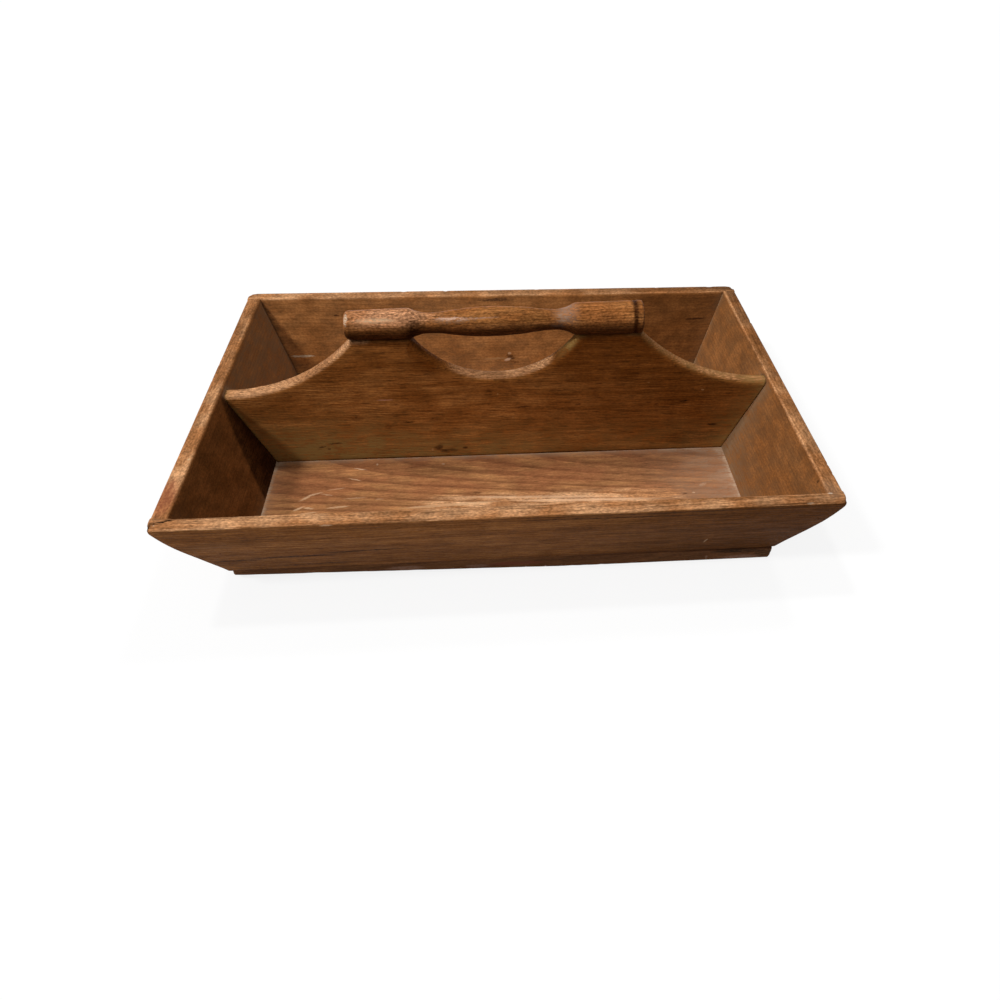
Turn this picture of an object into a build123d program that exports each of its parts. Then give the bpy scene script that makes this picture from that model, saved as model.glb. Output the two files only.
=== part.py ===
# Storage caddy: an old waxed pine cutlery tray. Four leaning sides stand on a planted base board,
# a shaped divider runs down the middle, and a turned carrying handle lies along its two peaks.
# Millimetres. +Z is up, the front is -Y, and the origin is on the table under the middle.
from math import cos, radians, sqrt, tan
import os

from build123d import *

os.makedirs("parts", exist_ok=True)

# The tray's outside, measured at the rim
rim_length = 421.0
rim_width = 291.0
rim_height = 75.0
splay = 23.0                # degrees that each side leans out from upright
side_thickness = 9.5        # square to the board's face
corner_round = 3.0          # wear on the four outer corners
rim_ease = 1.0              # wear along the rim's outer and inner edges

# The base board, planted under the sides
base_thickness = 11.0
base_setback = 1.5          # its edge stands behind the foot of the sides
base_corner = 4.0
base_lower_chamfer = 2.2

# The divider and its shaped top
divider_thickness = 12.0
divider_left_drop = 3.9     # below the rim, where it meets the left end board
divider_right_drop = 2.2    # below the rim, where it meets the right end board
divider_chamfer = 1.8       # taken off both edges of the shaped top
opening_centre = -4.9       # the hand opening sits a little left of the middle
opening_radius = 71.0
opening_floor = 81.8        # height of its lowest point
peak_setback = 0.5          # the handle's ends stand this far past the peaks

# The turned handle, as radii and as distances from its belly's middle
handle_axis = 126.6
handle_centre = -6.0
handle_seat_drop = 9.7      # from its axis to the flats planed under its two barrels
handle_left_reach = 101.0
handle_right_reach = 105.3
left_end_radius = 10.1      # the left barrel tapers towards its end
left_shoulder_radius = 10.9
right_shoulder_radius = 11.5
right_end_radius = 11.9
neck_radius = 7.3
belly_radius = 10.5
shoulder_reach = 59.8
shoulder_round = 9.0
neck_reach = 43.6
neck_hollow = 90.0          # the hollow's radius on the belly's side of the neck
end_chamfer = 1.8
ring_from_end = 5.8         # a scored ring near the right end
ring_width = 1.4
ring_depth = 0.6

# The pegs that pin the handle down, whittled to flats
peg_diameter = 6.0          # over its corners
peg_sides = 8
peg_in_handle = 11.0
peg_in_divider = 15.0

# Cut nails, sheared from plate, so each has one thickness all over
nail_plate = 1.7
nail_head = 3.0
nail_head_height = 0.9
nail_shank = 2.2
nail_tip = 1.1
nail_sink = 0.8             # heads are punched in below the wood
corner_nail = 26.0
corner_nail_margin = 13.0   # from the side's lower and upper edges
corner_nail_count = 3
base_nail = 27.0
base_nail_margin = 24.0     # from the inside corners of the floor
base_long_nail_count = 5
base_short_nail_count = 3
divider_nail = 30.0
divider_end_nail_count = 2
divider_end_margin = 18.0   # from the floor and from the divider's end height
divider_base_nail_count = 4
divider_base_margin = 40.0

# Worked out from the sizes above
lean = tan(radians(splay))
side_level = side_thickness / cos(radians(splay))    # a side's thickness, measured level
side_rise = rim_height - base_thickness
half_length = rim_length / 2
half_width = rim_width / 2
hanging = (Align.CENTER, Align.CENTER, Align.MAX)
overcut = 1.0               # how far a cutting shape runs past the wood


def outer_x(z):
    """Distance from the middle to an end board's outer face at height z."""
    return half_length - (rim_height - z) * lean


def outer_y(z):
    """Distance from the middle to a long board's outer face at height z."""
    return half_width - (rim_height - z) * lean


def evenly(first, last, count):
    """Places from first to last, with equal steps."""
    step = (last - first) / (count - 1)
    return [first + i * step for i in range(count)]


def between_faces(plane, outer, inset, past):
    """All that lies between two opposite sides' outer faces, each moved in by inset."""
    low, high = base_thickness - past, rim_height + past
    foot, mouth = outer(low) - inset, outer(high) - inset
    section = Polyline((-foot, low), (foot, low), (mouth, high), (-mouth, high), close=True)
    return extrude(plane * make_face(section), amount=rim_length, both=True)


def flared_block(inset, past):
    """The block inside all four outer faces, moved in by inset, and past the rim and foot."""
    return between_faces(Plane.XZ, outer_x, inset, past) & between_faces(Plane.YZ, outer_y, inset, past)


def eased_frame():
    """All four sides as one ring, worn round at its corners and along its rim."""
    block = flared_block(0, 0)
    corners = [e for e in block.edges() if e.bounding_box().size.Z > side_rise / 2]
    frame = fillet(corners, corner_round) - flared_block(side_level, overcut)
    rim = frame.faces().sort_by(Axis.Z)[-1].edges()
    return fillet(rim, rim_ease)


def cut_nail(length):
    """A cut nail along +Z, the top of its head at the origin."""
    outline = Polyline(
        (-nail_head / 2, 0),
        (nail_head / 2, 0),
        (nail_head / 2, nail_head_height),
        (nail_shank / 2, nail_head_height),
        (nail_tip / 2, length),
        (-nail_tip / 2, length),
        (-nail_shank / 2, nail_head_height),
        (-nail_head / 2, nail_head_height),
        close=True,
    )
    return extrude(Plane.XZ * make_face(outline), amount=nail_plate / 2, both=True)


def nail_way(length):
    """What a punched nail leaves in the wood: its own shape, open above its head."""
    above = Box(nail_head, nail_plate, 3 * nail_sink, align=hanging)
    return cut_nail(length) + above


def drive(shape, point, along, wide):
    """Set a nail's shape at a point, along its driving direction, its head's width along wide."""
    return Plane(origin=point, z_dir=along, x_dir=wide) * shape


def corner_places(side):
    """Front (-1) or rear (+1): level nails through the long board into the end boards."""
    low = base_thickness + corner_nail_margin
    high = rim_height - corner_nail_margin
    places = []
    for end in (-1, 1):
        for z in evenly(low, high, corner_nail_count):
            x = end * (outer_x(z) - side_level / 2)
            head = (x, side * (outer_y(z) - nail_sink), z)
            places.append((head, (0, -side, 0), (0, 0, 1)))
    return places


def divider_end_places(end, drop):
    """Left (-1) or right (+1): level nails through the end board into the divider's end."""
    low = base_thickness + divider_end_margin
    high = rim_height - drop - divider_end_margin
    places = []
    for z in evenly(low, high, divider_end_nail_count):
        head = (end * (outer_x(z) - nail_sink), 0, z)
        places.append((head, (-end, 0, 0), (0, 0, 1)))
    return places


def base_rim_places():
    """Nails driven up through the base at the sides' own lean, into their lower edges."""
    x_mid = outer_x(nail_sink) - side_level / 2
    y_mid = outer_y(nail_sink) - side_level / 2
    x_span = outer_x(base_thickness) - side_level - base_nail_margin
    y_span = outer_y(base_thickness) - side_level - base_nail_margin
    places = []
    for side in (-1, 1):
        for x in evenly(-x_span, x_span, base_long_nail_count):
            places.append(((x, side * y_mid, nail_sink), (0, side * lean, 1), (1, 0, 0)))
        for y in evenly(-y_span, y_span, base_short_nail_count):
            places.append(((side * x_mid, y, nail_sink), (side * lean, 0, 1), (0, 1, 0)))
    return places


def base_divider_places():
    """Nails driven straight up through the base into the divider's lower edge."""
    span = outer_x(base_thickness) - side_level - divider_base_margin
    return [((x, 0, nail_sink), (0, 0, 1), (1, 0, 0)) for x in evenly(-span, span, divider_base_nail_count)]


def nails(length, places):
    return [drive(cut_nail(length), *place) for place in places]


def ways(length, places):
    return [drive(nail_way(length), *place) for place in places]


# Where the handle lies on the divider's peaks
seat_height = handle_axis - handle_seat_drop
handle_left = handle_centre - handle_left_reach
handle_right = handle_centre + handle_right_reach
opening_axis = opening_floor + opening_radius
opening_half = sqrt(opening_radius**2 - (opening_axis - seat_height) ** 2)
peg_places = [
    (handle_left + opening_centre - opening_half) / 2,
    (handle_right + opening_centre + opening_half) / 2,
]


def divider_board():
    """The divider: wings that sweep up to two peaks, and the hand opening between them."""
    left_end = rim_height - divider_left_drop
    right_end = rim_height - divider_right_drop
    left_tip = (side_level - outer_x(left_end), left_end)
    right_tip = (outer_x(right_end) - side_level, right_end)
    left_foot = (side_level - outer_x(base_thickness), base_thickness)
    right_foot = (outer_x(base_thickness) - side_level, base_thickness)
    left_peak = (handle_left + peak_setback, seat_height)
    right_peak = (handle_right - peak_setback, seat_height)
    left_grip = (opening_centre - opening_half, seat_height)
    right_grip = (opening_centre + opening_half, seat_height)
    outline = [
        TangentArc(left_tip, left_peak, tangent=(1, 0)),
        Line(left_peak, left_grip),
        ThreePointArc(left_grip, (opening_centre, opening_floor), right_grip),
        Line(right_grip, right_peak),
        TangentArc(right_tip, right_peak, tangent=(-1, 0)),
        Line(right_tip, right_foot),
        Line(right_foot, left_foot),
        Line(left_foot, left_tip),
    ]
    board = extrude(Plane.XZ * make_face(outline), amount=divider_thickness / 2, both=True)
    shaped_top = board.edges().filter_by(GeomType.CIRCLE)
    return chamfer(shaped_top, divider_chamfer)


def ogee(start, finish, first_radius):
    """An S of two arcs from start to finish, level at both ends."""
    run, rise = finish[0] - start[0], finish[1] - start[1]
    both_radii = (run**2 + rise**2) / (2 * abs(rise))
    share = first_radius / both_radii
    turn = (start[0] + share * run, start[1] + share * rise)
    return [
        TangentArc(start, turn, tangent=(run, 0)),
        TangentArc(finish, turn, tangent=(-run, 0)),
    ]


def turned_end(side, reach, shoulder_radius, end_radius):
    """Half of the handle's outline, from the belly out to one end: side is -1 or +1."""
    belly = (0, belly_radius)
    neck = (side * neck_reach, neck_radius)
    shoulder = (side * shoulder_reach, shoulder_radius)
    rim = (side * (reach - end_chamfer), end_radius)
    face = (side * reach, end_radius - end_chamfer)
    return [
        *ogee(neck, belly, neck_hollow),
        *ogee(shoulder, neck, shoulder_round),
        Line(shoulder, rim),
        Line(rim, face),
        Line(face, (side * reach, 0)),
        Line((side * reach, 0), (0, 0)),
    ]


def turned_handle():
    """The handle, turned about its length, with flats planed where it lies on the peaks."""
    left_half = turned_end(-1, handle_left_reach, left_shoulder_radius, left_end_radius)
    right_half = turned_end(1, handle_right_reach, right_shoulder_radius, right_end_radius)
    turned = revolve(Plane.XZ * make_face(left_half + right_half), axis=Axis.X)
    ring_x = handle_right_reach - ring_from_end
    groove = Polyline(
        (ring_x - ring_width / 2, right_end_radius),
        (ring_x, right_end_radius - ring_depth),
        (ring_x + ring_width / 2, right_end_radius),
        close=True,
    )
    turned -= revolve(Plane.XZ * make_face(groove), axis=Axis.X)
    handle = Pos(handle_centre, 0, handle_axis) * turned
    for neck, end in ((-neck_reach, -handle_left_reach), (neck_reach, handle_right_reach)):
        below = Box(abs(end - neck), 2 * right_end_radius, right_end_radius, align=hanging)
        handle -= Pos(handle_centre + (neck + end) / 2, 0, seat_height) * below
    return handle


def handle_peg():
    """A peg along Z, its middle at the joint between the divider's peak and the handle."""
    section = RegularPolygon(peg_diameter / 2, peg_sides)
    return Pos(0, 0, -peg_in_divider) * extrude(section, amount=peg_in_divider + peg_in_handle)


def base_board():
    """The base, its upright corners round and its lower edge taken off."""
    length = 2 * (outer_x(base_thickness) - base_setback)
    width = 2 * (outer_y(base_thickness) - base_setback)
    board = extrude(RectangleRounded(length, width, base_corner), amount=base_thickness)
    return chamfer(board.faces().sort_by(Axis.Z)[0].edges(), base_lower_chamfer)


# The pieces
front_nails = corner_places(-1)
rear_nails = corner_places(1)
left_nails = divider_end_places(-1, divider_left_drop)
right_nails = divider_end_places(1, divider_right_drop)
rim_nails = base_rim_places()
keel_nails = base_divider_places()
pegs = [Pos(x, 0, seat_height) * handle_peg() for x in peg_places]

frame = eased_frame()
within = between_faces(Plane.YZ, outer_y, side_level, overcut)
end_boards = (frame & within).solids().sort_by(Axis.X)
long_boards = (frame - within).solids().sort_by(Axis.Y)

corner_ways = ways(corner_nail, front_nails + rear_nails)
end_ways = ways(divider_nail, left_nails + right_nails)
rim_ways = ways(base_nail, rim_nails)
keel_ways = ways(base_nail, keel_nails)

pieces = {
    "base_board": base_board() - rim_ways - keel_ways,
    "front_board": long_boards[0] - corner_ways - rim_ways,
    "rear_board": long_boards[1] - corner_ways - rim_ways,
    "left_end_board": end_boards[0] - corner_ways - end_ways - rim_ways,
    "right_end_board": end_boards[1] - corner_ways - end_ways - rim_ways,
    "divider": divider_board() - end_ways - keel_ways - pegs,
    "handle": turned_handle() - pegs,
    "handle_pegs": Compound(children=pegs),
    "front_corner_nails": Compound(children=nails(corner_nail, front_nails)),
    "rear_corner_nails": Compound(children=nails(corner_nail, rear_nails)),
    "divider_end_nails": Compound(children=nails(divider_nail, left_nails + right_nails)),
    "base_rim_nails": Compound(children=nails(base_nail, rim_nails)),
    "base_divider_nails": Compound(children=nails(base_nail, keel_nails)),
}

for name, piece in pieces.items():
    export_step(piece, f"parts/{name}.step")
    print(name, "solids", len(piece.solids()), "volume", round(piece.volume))
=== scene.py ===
# Storage caddy: an old waxed pine cutlery tray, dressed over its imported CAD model.
# Shapes are worked out in millimetres in the CAD's own frame, and Blender gets them in metres.
from math import asin, cos, exp, hypot, pi, radians, sin, sqrt, tan
import random

import bmesh
import bpy
from mathutils import Matrix, Vector, noise


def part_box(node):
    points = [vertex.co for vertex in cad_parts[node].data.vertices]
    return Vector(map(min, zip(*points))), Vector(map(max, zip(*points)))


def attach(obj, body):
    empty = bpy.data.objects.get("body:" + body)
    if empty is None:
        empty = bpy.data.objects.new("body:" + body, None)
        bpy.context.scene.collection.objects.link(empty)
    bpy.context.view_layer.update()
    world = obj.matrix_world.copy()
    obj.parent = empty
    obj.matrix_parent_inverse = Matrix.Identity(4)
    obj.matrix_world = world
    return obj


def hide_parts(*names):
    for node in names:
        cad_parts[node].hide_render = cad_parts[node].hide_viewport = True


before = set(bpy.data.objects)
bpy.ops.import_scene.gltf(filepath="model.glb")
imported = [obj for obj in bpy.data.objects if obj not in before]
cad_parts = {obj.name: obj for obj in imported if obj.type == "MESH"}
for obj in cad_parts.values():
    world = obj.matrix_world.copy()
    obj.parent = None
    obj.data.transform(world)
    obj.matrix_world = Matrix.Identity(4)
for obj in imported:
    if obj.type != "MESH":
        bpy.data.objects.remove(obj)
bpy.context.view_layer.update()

MM = 0.001

# The joiner's sizes, in millimetres and degrees
splay = 23.0                # each side leans out from upright
side_thickness = 9.5
base_setback = 1.5          # the base's edge stands behind the foot of the sides
cupping = 1.5               # how far the sides' outer faces have cupped outwards
foot_wear = 4.4             # how deep the base's front lower edge is worn away at its left end
foot_wear_start = 40        # the wear begins this far right of the middle
foot_wear_run = 222         # and is full this much further left
foot_wear_slope = 51        # how steeply it cuts the edge away, in degrees
foot_skew = 2.0             # how far the base's front edge stands out of square at its right end

# How round the sides' edges are, from a joint that has stayed shut to the corners that knock about
shut_joint = 0.06
sound_edge = 0.5
leaning_corner = 1.3
handled_rim = 1.9
rim_corner = 3.8
roundest = 4.6

# The shaped divider
left_drop = 3.9             # its ends lie this far below the rim
right_drop = 2.2
opening_centre = -4.9
opening_radius = 69.2
opening_floor = 82.6
left_peak_setback = 2.7
right_peak_setback = 0.5

# The turned handle: radii, and distances from its belly's middle
handle_centre = -6.0
seat_drop = 9.7
left_end_radius = 10.1
left_shoulder_radius = 10.9
right_shoulder_radius = 11.5
right_end_radius = 11.9
neck_radius = 7.3
belly_radius = 10.5
shoulder_reach = 59.8
shoulder_round = 9.0
neck_reach = 43.6
neck_hollow = 90.0
left_end_round = 3.4
right_end_round = 1.8
handle_tilt = 0.011         # it has settled to the left, by this much for each millimetre along
ring_from_end = 5.8
ring_width = 4.2
ring_depth = 0.6


def corners_mm(node):
    """A CAD node's lowest and highest corner, in millimetres."""
    low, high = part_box(node)
    return low / MM, high / MM


base_high = corners_mm("base_board")[1]
front_low, front_high = corners_mm("front_board")
divider_high = corners_mm("divider")[1]
handle_low, handle_high = corners_mm("handle")

floor_z = base_high.z
rim_z = front_high.z
lean = tan(radians(splay))
side_level = side_thickness / cos(radians(splay))
slant = (rim_z - floor_z) / cos(radians(splay))
handle_axis = handle_high.z - right_end_radius
seat_z = handle_axis - seat_drop
half_divider = divider_high.y


def seat_at(x):
    """Height at x of the divider's seats under the handle, which has settled to the left."""
    return seat_z - handle_tilt * (handle_high.x - x)


def outer_x(z):
    """From the middle to an end board's outer face at height z."""
    return base_high.x + base_setback + (z - floor_z) * lean


def outer_y(z):
    """From the middle to a long board's outer face at height z."""
    return base_high.y + base_setback + (z - floor_z) * lean


def rough(x, y, z, size):
    """Smooth noise from about -1 to 1, its bumps about this many millimetres apart."""
    return noise.noise(Vector((x, y, z)) / size)


def near(distance, reach):
    """1 where the distance is nothing, falling smoothly to 0 at the reach."""
    share = max(0.0, min(1.0, 1 - distance / reach))
    return share * share * (3 - 2 * share)


# Cutting a board's skin into cells: how far in from an edge the cuts near it are

long_edge = (0, 0.25, 0.55, 0.95, 1.45, 2.1, 3.0, 4.2, 6.0)
thin_edge = (0, 0.25, 0.6, 1.1, 1.8, 2.8)


def cuts(span, step, edge):
    """Places along a span from its middle, close together near both ends and a step apart between."""
    outer = [span / 2 - place for place in edge]
    inner = outer[-1]
    count = max(1, round(2 * inner / step))
    middle = [-inner + 2 * inner * i / count for i in range(1, count)]
    return [-place for place in outer] + middle + outer[::-1]


def block_skin(us, vs, ws):
    """The points and quads on the skin of a block cut at these places along its three edges."""
    index = {}
    points = []

    def at(i, j, k):
        if (i, j, k) not in index:
            index[i, j, k] = len(points)
            points.append((us[i], vs[j], ws[k]))
        return index[i, j, k]

    quads = []
    last = (len(us) - 1, len(vs) - 1, len(ws) - 1)
    for axis in range(3):
        a, b = [other for other in range(3) if other != axis]
        for level in (0, last[axis]):
            for i in range(last[a]):
                for j in range(last[b]):
                    quad = []
                    for di, dj in ((0, 0), (1, 0), (1, 1), (0, 1)):
                        place = [0, 0, 0]
                        place[axis], place[a], place[b] = level, i + di, j + dj
                        quad.append(at(*place))
                    quads.append(quad)
    return points, quads


def drawn_in(point, half, radius):
    """A point of a block's skin moved in, so that the edges near it have this radius."""
    core = Vector([max(radius - h, min(h - radius, c)) for c, h in zip(point, half)])
    out = Vector(point) - core
    return core + out * (radius / out.length)


def chips(seed, length, count, longest, deepest):
    """Chips knocked out along an edge, each as its place, half its length and its depth."""
    pick = random.Random(seed)
    rows = []
    for _ in range(count):
        size = pick.uniform(0.15, 1.0)
        rows.append((pick.uniform(-length, length) / 2, size * longest / 2, pick.uniform(0.3, 1.0) * deepest))
    return rows


def chipped(edge_chips, along):
    """How deep the chips go at this place along the edge."""
    return max([0.0] + [depth * max(0.0, 1 - ((along - at) / half) ** 2) for at, half, depth in edge_chips])


# Making pieces

# What each point tells its material: its place in the log, and shares from 0 to 1 of the rest
look_names = ("grain", "worn", "dust", "grime", "patina", "outside")


def put_in_scene(name, data):
    """A new object that shows this mesh, lamp or camera."""
    thing = bpy.data.objects.new(name, data)
    bpy.context.scene.collection.objects.link(thing)
    return thing


def make_piece(name, points, faces, looks, material):
    """One piece of the tray, in place of the CAD node of its name, with the looks of each point."""
    mesh = bpy.data.meshes.new(name)
    mesh.from_pydata([Vector(point) * MM for point in points], [], faces)
    shell = bmesh.new()
    shell.from_mesh(mesh)
    bmesh.ops.recalc_face_normals(shell, faces=shell.faces)
    shell.to_mesh(mesh)
    shell.free()
    for look in look_names:
        values = [here[look] for here in looks]
        if look == "grain":
            layer = mesh.attributes.new(look, "FLOAT_VECTOR", "POINT")
            layer.data.foreach_set("vector", [c for value in values for c in value])
        else:
            layer = mesh.attributes.new(look, "FLOAT", "POINT")
            layer.data.foreach_set("value", values)
    mesh.polygons.foreach_set("use_smooth", [True] * len(mesh.polygons))
    mesh.materials.append(material)
    piece = put_in_scene(name, mesh)
    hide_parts(name)
    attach(piece, "root")
    return piece


def block_piece(name, cell_cuts, wear, set_in_tray, look_at, material):
    """A worn board: its skin drawn in at the edges, set in the tray, with its looks point by point."""
    half = [places[-1] for places in cell_cuts]
    skin, quads = block_skin(*cell_cuts)
    points = []
    looks = []
    for place in skin:
        points.append(set_in_tray(*drawn_in(place, half, wear(*place))))
        looks.append(look_at(*place))
    return make_piece(name, points, quads, looks, material)


# The four sides


def side_height(v):
    """Height above the table of a place v up a side's slant, from its middle."""
    return floor_z + (v / slant + 0.5) * (rim_z - floor_z)


def side_inset(w):
    """How far a place in a side's thickness lies inside the outer face, measured level."""
    return (0.5 - w / side_thickness) * side_level


def cupped(z):
    """How far the outer face stands proud of flat at height z."""
    return cupping * sin(pi * ((z - floor_z) / (rim_z - floor_z)) ** 1.6)


def side_board(name, facing, seed, nicks, rim_round, rim_wear_and_edge_light, log_place, inside, material):
    """A side board. Facing is (0, -1) front, (0, 1) rear, (-1, 0) left or (1, 0) right."""
    is_long = facing[0] == 0
    half_u = outer_x(rim_z) if is_long else outer_y(rim_z) - side_level
    rim_chips = chips(seed, 2 * half_u, nicks, 7.0, 1.3)

    def wear(u, v, w):
        radius = sound_edge + 0.22 * rough(u, v, seed * 9.0, 11)
        rim = near(slant / 2 - v, 7)
        corner = near(half_u - abs(u), 8) if is_long else 0.0
        if w > 0:
            handled = handled_rim + 0.2 * rough(u, w, seed * 5.0, 26) + chipped(rim_chips, u)
            handled += corner * (rim_corner - handled)
        else:
            handled = rim_round(u) + 0.3 * rough(u, w, seed * 5.0, 18)
        radius += rim * (handled - radius)
        if w > 0:
            radius += corner * (1 - rim) * (leaning_corner + 0.4 * rough(u, v, w, 9) - radius)
        # Where two boards meet, the joint has stayed shut.
        if is_long and w < 0:
            radius -= near(half_u - side_level - 1 - abs(u), 3) * (radius - shut_joint)
        if not is_long:
            radius -= near(half_u - abs(u), 1.6) * (radius - shut_joint)
        return max(0.05, min(radius, roundest))

    def set_in_tray(u, v, w):
        z = side_height(v)
        proud = cupped(max(floor_z, min(rim_z, z)))
        out = proud * (0.5 + w / side_thickness)
        if is_long:
            x = u / half_u * outer_x(z) + proud * (u / half_u) ** 9
            y = facing[1] * (outer_y(z) - side_inset(w) + out)
        else:
            x = facing[0] * (outer_x(z) - side_inset(w) + out)
            y = u / half_u * (outer_y(z) - side_level)
        # The worn rim reaches no further out than the sound one.
        x = max(front_low.x, min(front_high.x, x))
        y = max(front_low.y, min(-front_low.y, y))
        return (x, y, z)

    def look_at(u, v, w):
        below = slant / 2 - v
        in_tray = near(side_thickness / 2 + w, 3.0)
        corner = half_u - abs(u) - (side_level if is_long else 0)
        foot = v + slant / 2
        dust, grime, patina = inside(u, corner, foot, abs(u) - half_divider)
        # Darker along the outer foot where it meets the base: grime in the joint and painted shade.
        foot_grime_and_shade = 0.6 * near(foot, 2.5)
        return {
            "grain": log_place(u, v, w),
            # How pale the rim is worn; along the inner arris this includes a painted highlight on the rear
            # and right rims and painted shade on the left rim.
            "worn": exp(-below / 1.6) * rim_wear_and_edge_light(u, near(side_thickness / 2 + w, 1.5)),
            "dust": dust * in_tray * (1 - near(below, 4)),
            "grime": grime * in_tray * (1 - near(below, 5)) + (1 - in_tray) * foot_grime_and_shade,
            "patina": patina * in_tray,
            # The outer faces are darker, partly their own finish and partly painted shade, and darkest
            # towards the long boards' right ends.
            "outside": (1 - in_tray) * (0.64 + 0.32 * near(max(0, 200 - u), 230)),
        }

    cell_cuts = (
        cuts(2 * half_u, 1.25, long_edge),
        cuts(slant, 5, long_edge),
        cuts(side_thickness, 2, thin_edge),
    )
    return block_piece(name, cell_cuts, wear, set_in_tray, look_at, material)


def settled(*joints):
    """Dust or grime from how far off each joint is, how far it reaches and how much lies there."""
    return min(1.0, sum(amount * exp(-max(0.0, away) / reach) for away, reach, amount in joints))


# Dust, grime, patina and painted shade inside each side, at u along it from its middle and so far off its
# corner, its foot and its joint with the divider


def front_inside(u, corner, foot, joint):
    return settled((foot, 4, 0.6)), settled((corner, 1.5, 0.8), (foot, 1.2, 0.6)), 0.3


def rear_inside(u, corner, foot, joint):
    dust = settled((corner, 4, 0.35), (foot, 4, 0.5)) + 0.12 * near(abs(u + 60), 150)
    patina = 0.9 * near(max(0, 150 - u), 110) + 0.2 * near(abs(u + 130), 90)
    return dust, settled((corner, 2.2, 1.0 if u < 0 else 0.5)), patina


def left_inside(u, corner, foot, joint):
    dust = settled((corner, 8, 0.25), (foot, 3, 0.5), (joint, 1.5, 0.9))
    if u > 0:
        dust += 0.4 + 0.8 * near(abs(corner - 3.4), 1.2)
        return min(1.0, dust), settled((corner, 1.6, 1.0)), 0.5
    # Painted shadow of the divider on this wall, in the corner beside it, reaching further out towards the
    # floor.
    painted_divider_shadow = 0.95 * near(max(0, joint - 54 * (1 - foot / slant)), 4) * near(-joint + 1, 3)
    return dust, min(1.0, settled((corner, 1.6, 0.9)) + painted_divider_shadow), 0.9


def right_inside(u, corner, foot, joint):
    fallen = 7 + 15 * near(foot, 60)
    dust = settled((corner, 5, 0.35), (foot, 11, 0.6), (joint, fallen if u < 0 else 5, 0.95)) + 0.12
    if u > 0:
        dust += 0.9 * near(corner - 0.6, 1.2)
        return min(1.0, dust), settled((joint, 1.0, 0.6)), 0.5
    return dust, settled((corner, 1.4, 0.8), (joint, 1.0, 0.6)), 0.55


# The base, which is also the tray's floor


def base_board(material):
    """The base, knocked about along its lower edge and worn away at its front left foot."""
    half_length, half_width, half_height = base_high.x, base_high.y, floor_z / 2
    foot_chips = chips(71, 2 * half_length, 26, 9.0, 1.4)
    wall_x = outer_x(floor_z) - side_level
    wall_y = outer_y(floor_z) - side_level
    across, down = cos(radians(foot_wear_slope)), sin(radians(foot_wear_slope))

    def wear(u, v, w):
        radius = 0.7 + 0.3 * rough(u, v, w, 8)
        if w < 0:
            radius = 0.8 + 0.3 * rough(u, v, 3, 30) + 0.3 * rough(u, v, 9, 5)
            radius += 0.7 * chipped(foot_chips, u + v)
        corner = near(half_length - abs(u), 6) * near(half_width - abs(v), 6)
        radius += corner * ((1.7 if w > 0 else 3.2) + 0.4 * rough(u, v, w, 5) - radius)
        return max(0.3, min(radius, 5.2))

    def set_in_tray(u, v, w):
        z = max(0.0, w + half_height)
        v -= foot_skew * max(0.0, u / half_length) * near(half_width + v, 30)
        worn_away = foot_wear * max(0.0, min(1.0, (foot_wear_start - u) / foot_wear_run))
        over = worn_away - across * (half_width + v) - down * z
        if over > 0:
            over += 0.25 * rough(u, v, z, 7) * min(1.0, over)
            return (u, v + across * over, z + down * over)
        return (u, v, z)

    def look_at(u, v, w):
        in_tray = near(abs(u) - wall_x, 3) * near(abs(v) - wall_y, 3) if w > 0 else 0.0
        from_wall = wall_x - abs(u)
        from_divider = abs(v) - half_divider
        dust = settled(
            (from_wall, 4, 0.35), (from_wall, 0.7, 1.1), (wall_y - abs(v), 4, 0.3), (from_divider, 1.3, 1.2)
        )
        dust += 0.3 * near(wall_x - u, 80) + 0.5 * near(hypot(from_wall, from_divider), 12)
        scoured = near(max(0, abs(v + 64) - 4), 17) * near(max(0, abs(u - 35) - 75), 50)
        # The log's heart ran below the board, nearer to it at the right.
        heart_depth = w + 58.5 - 0.09 * u
        return {
            "grain": (u + 3300, v - 2, heart_depth),
            "worn": 0.62 * scoured * in_tray,
            "dust": min(1.0, dust) * in_tray,
            # Painted shade and a dark joint along the top of the base's edge, under the overhanging sides.
            "grime": 0.9 * near(half_height - w, 2.2) * (1 - in_tray),
            "patina": (0.35 + 0.6 * near(wall_x - u, 150)) * in_tray,
            "outside": 1 - in_tray,
        }

    cell_cuts = (
        cuts(2 * half_length, 2.5, long_edge + (9.0,)),
        cuts(2 * half_width, 4, long_edge + (9.0,)),
        cuts(floor_z, 2, thin_edge),
    )
    return block_piece("base_board", cell_cuts, wear, set_in_tray, look_at, material)


# The divider


def bend(start, finish, centre, count):
    """Points along an arc about a centre, from start to finish, both in the divider's face."""
    radius = hypot(start[0] - centre[0], start[1] - centre[1])
    first = asin((start[0] - centre[0]) / radius)
    final = asin((finish[0] - centre[0]) / radius)
    points = []
    for i in range(count + 1):
        angle = first + (final - first) * i / count
        points.append((centre[0] + radius * sin(angle), centre[1] - radius * cos(angle)))
    return points


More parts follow.
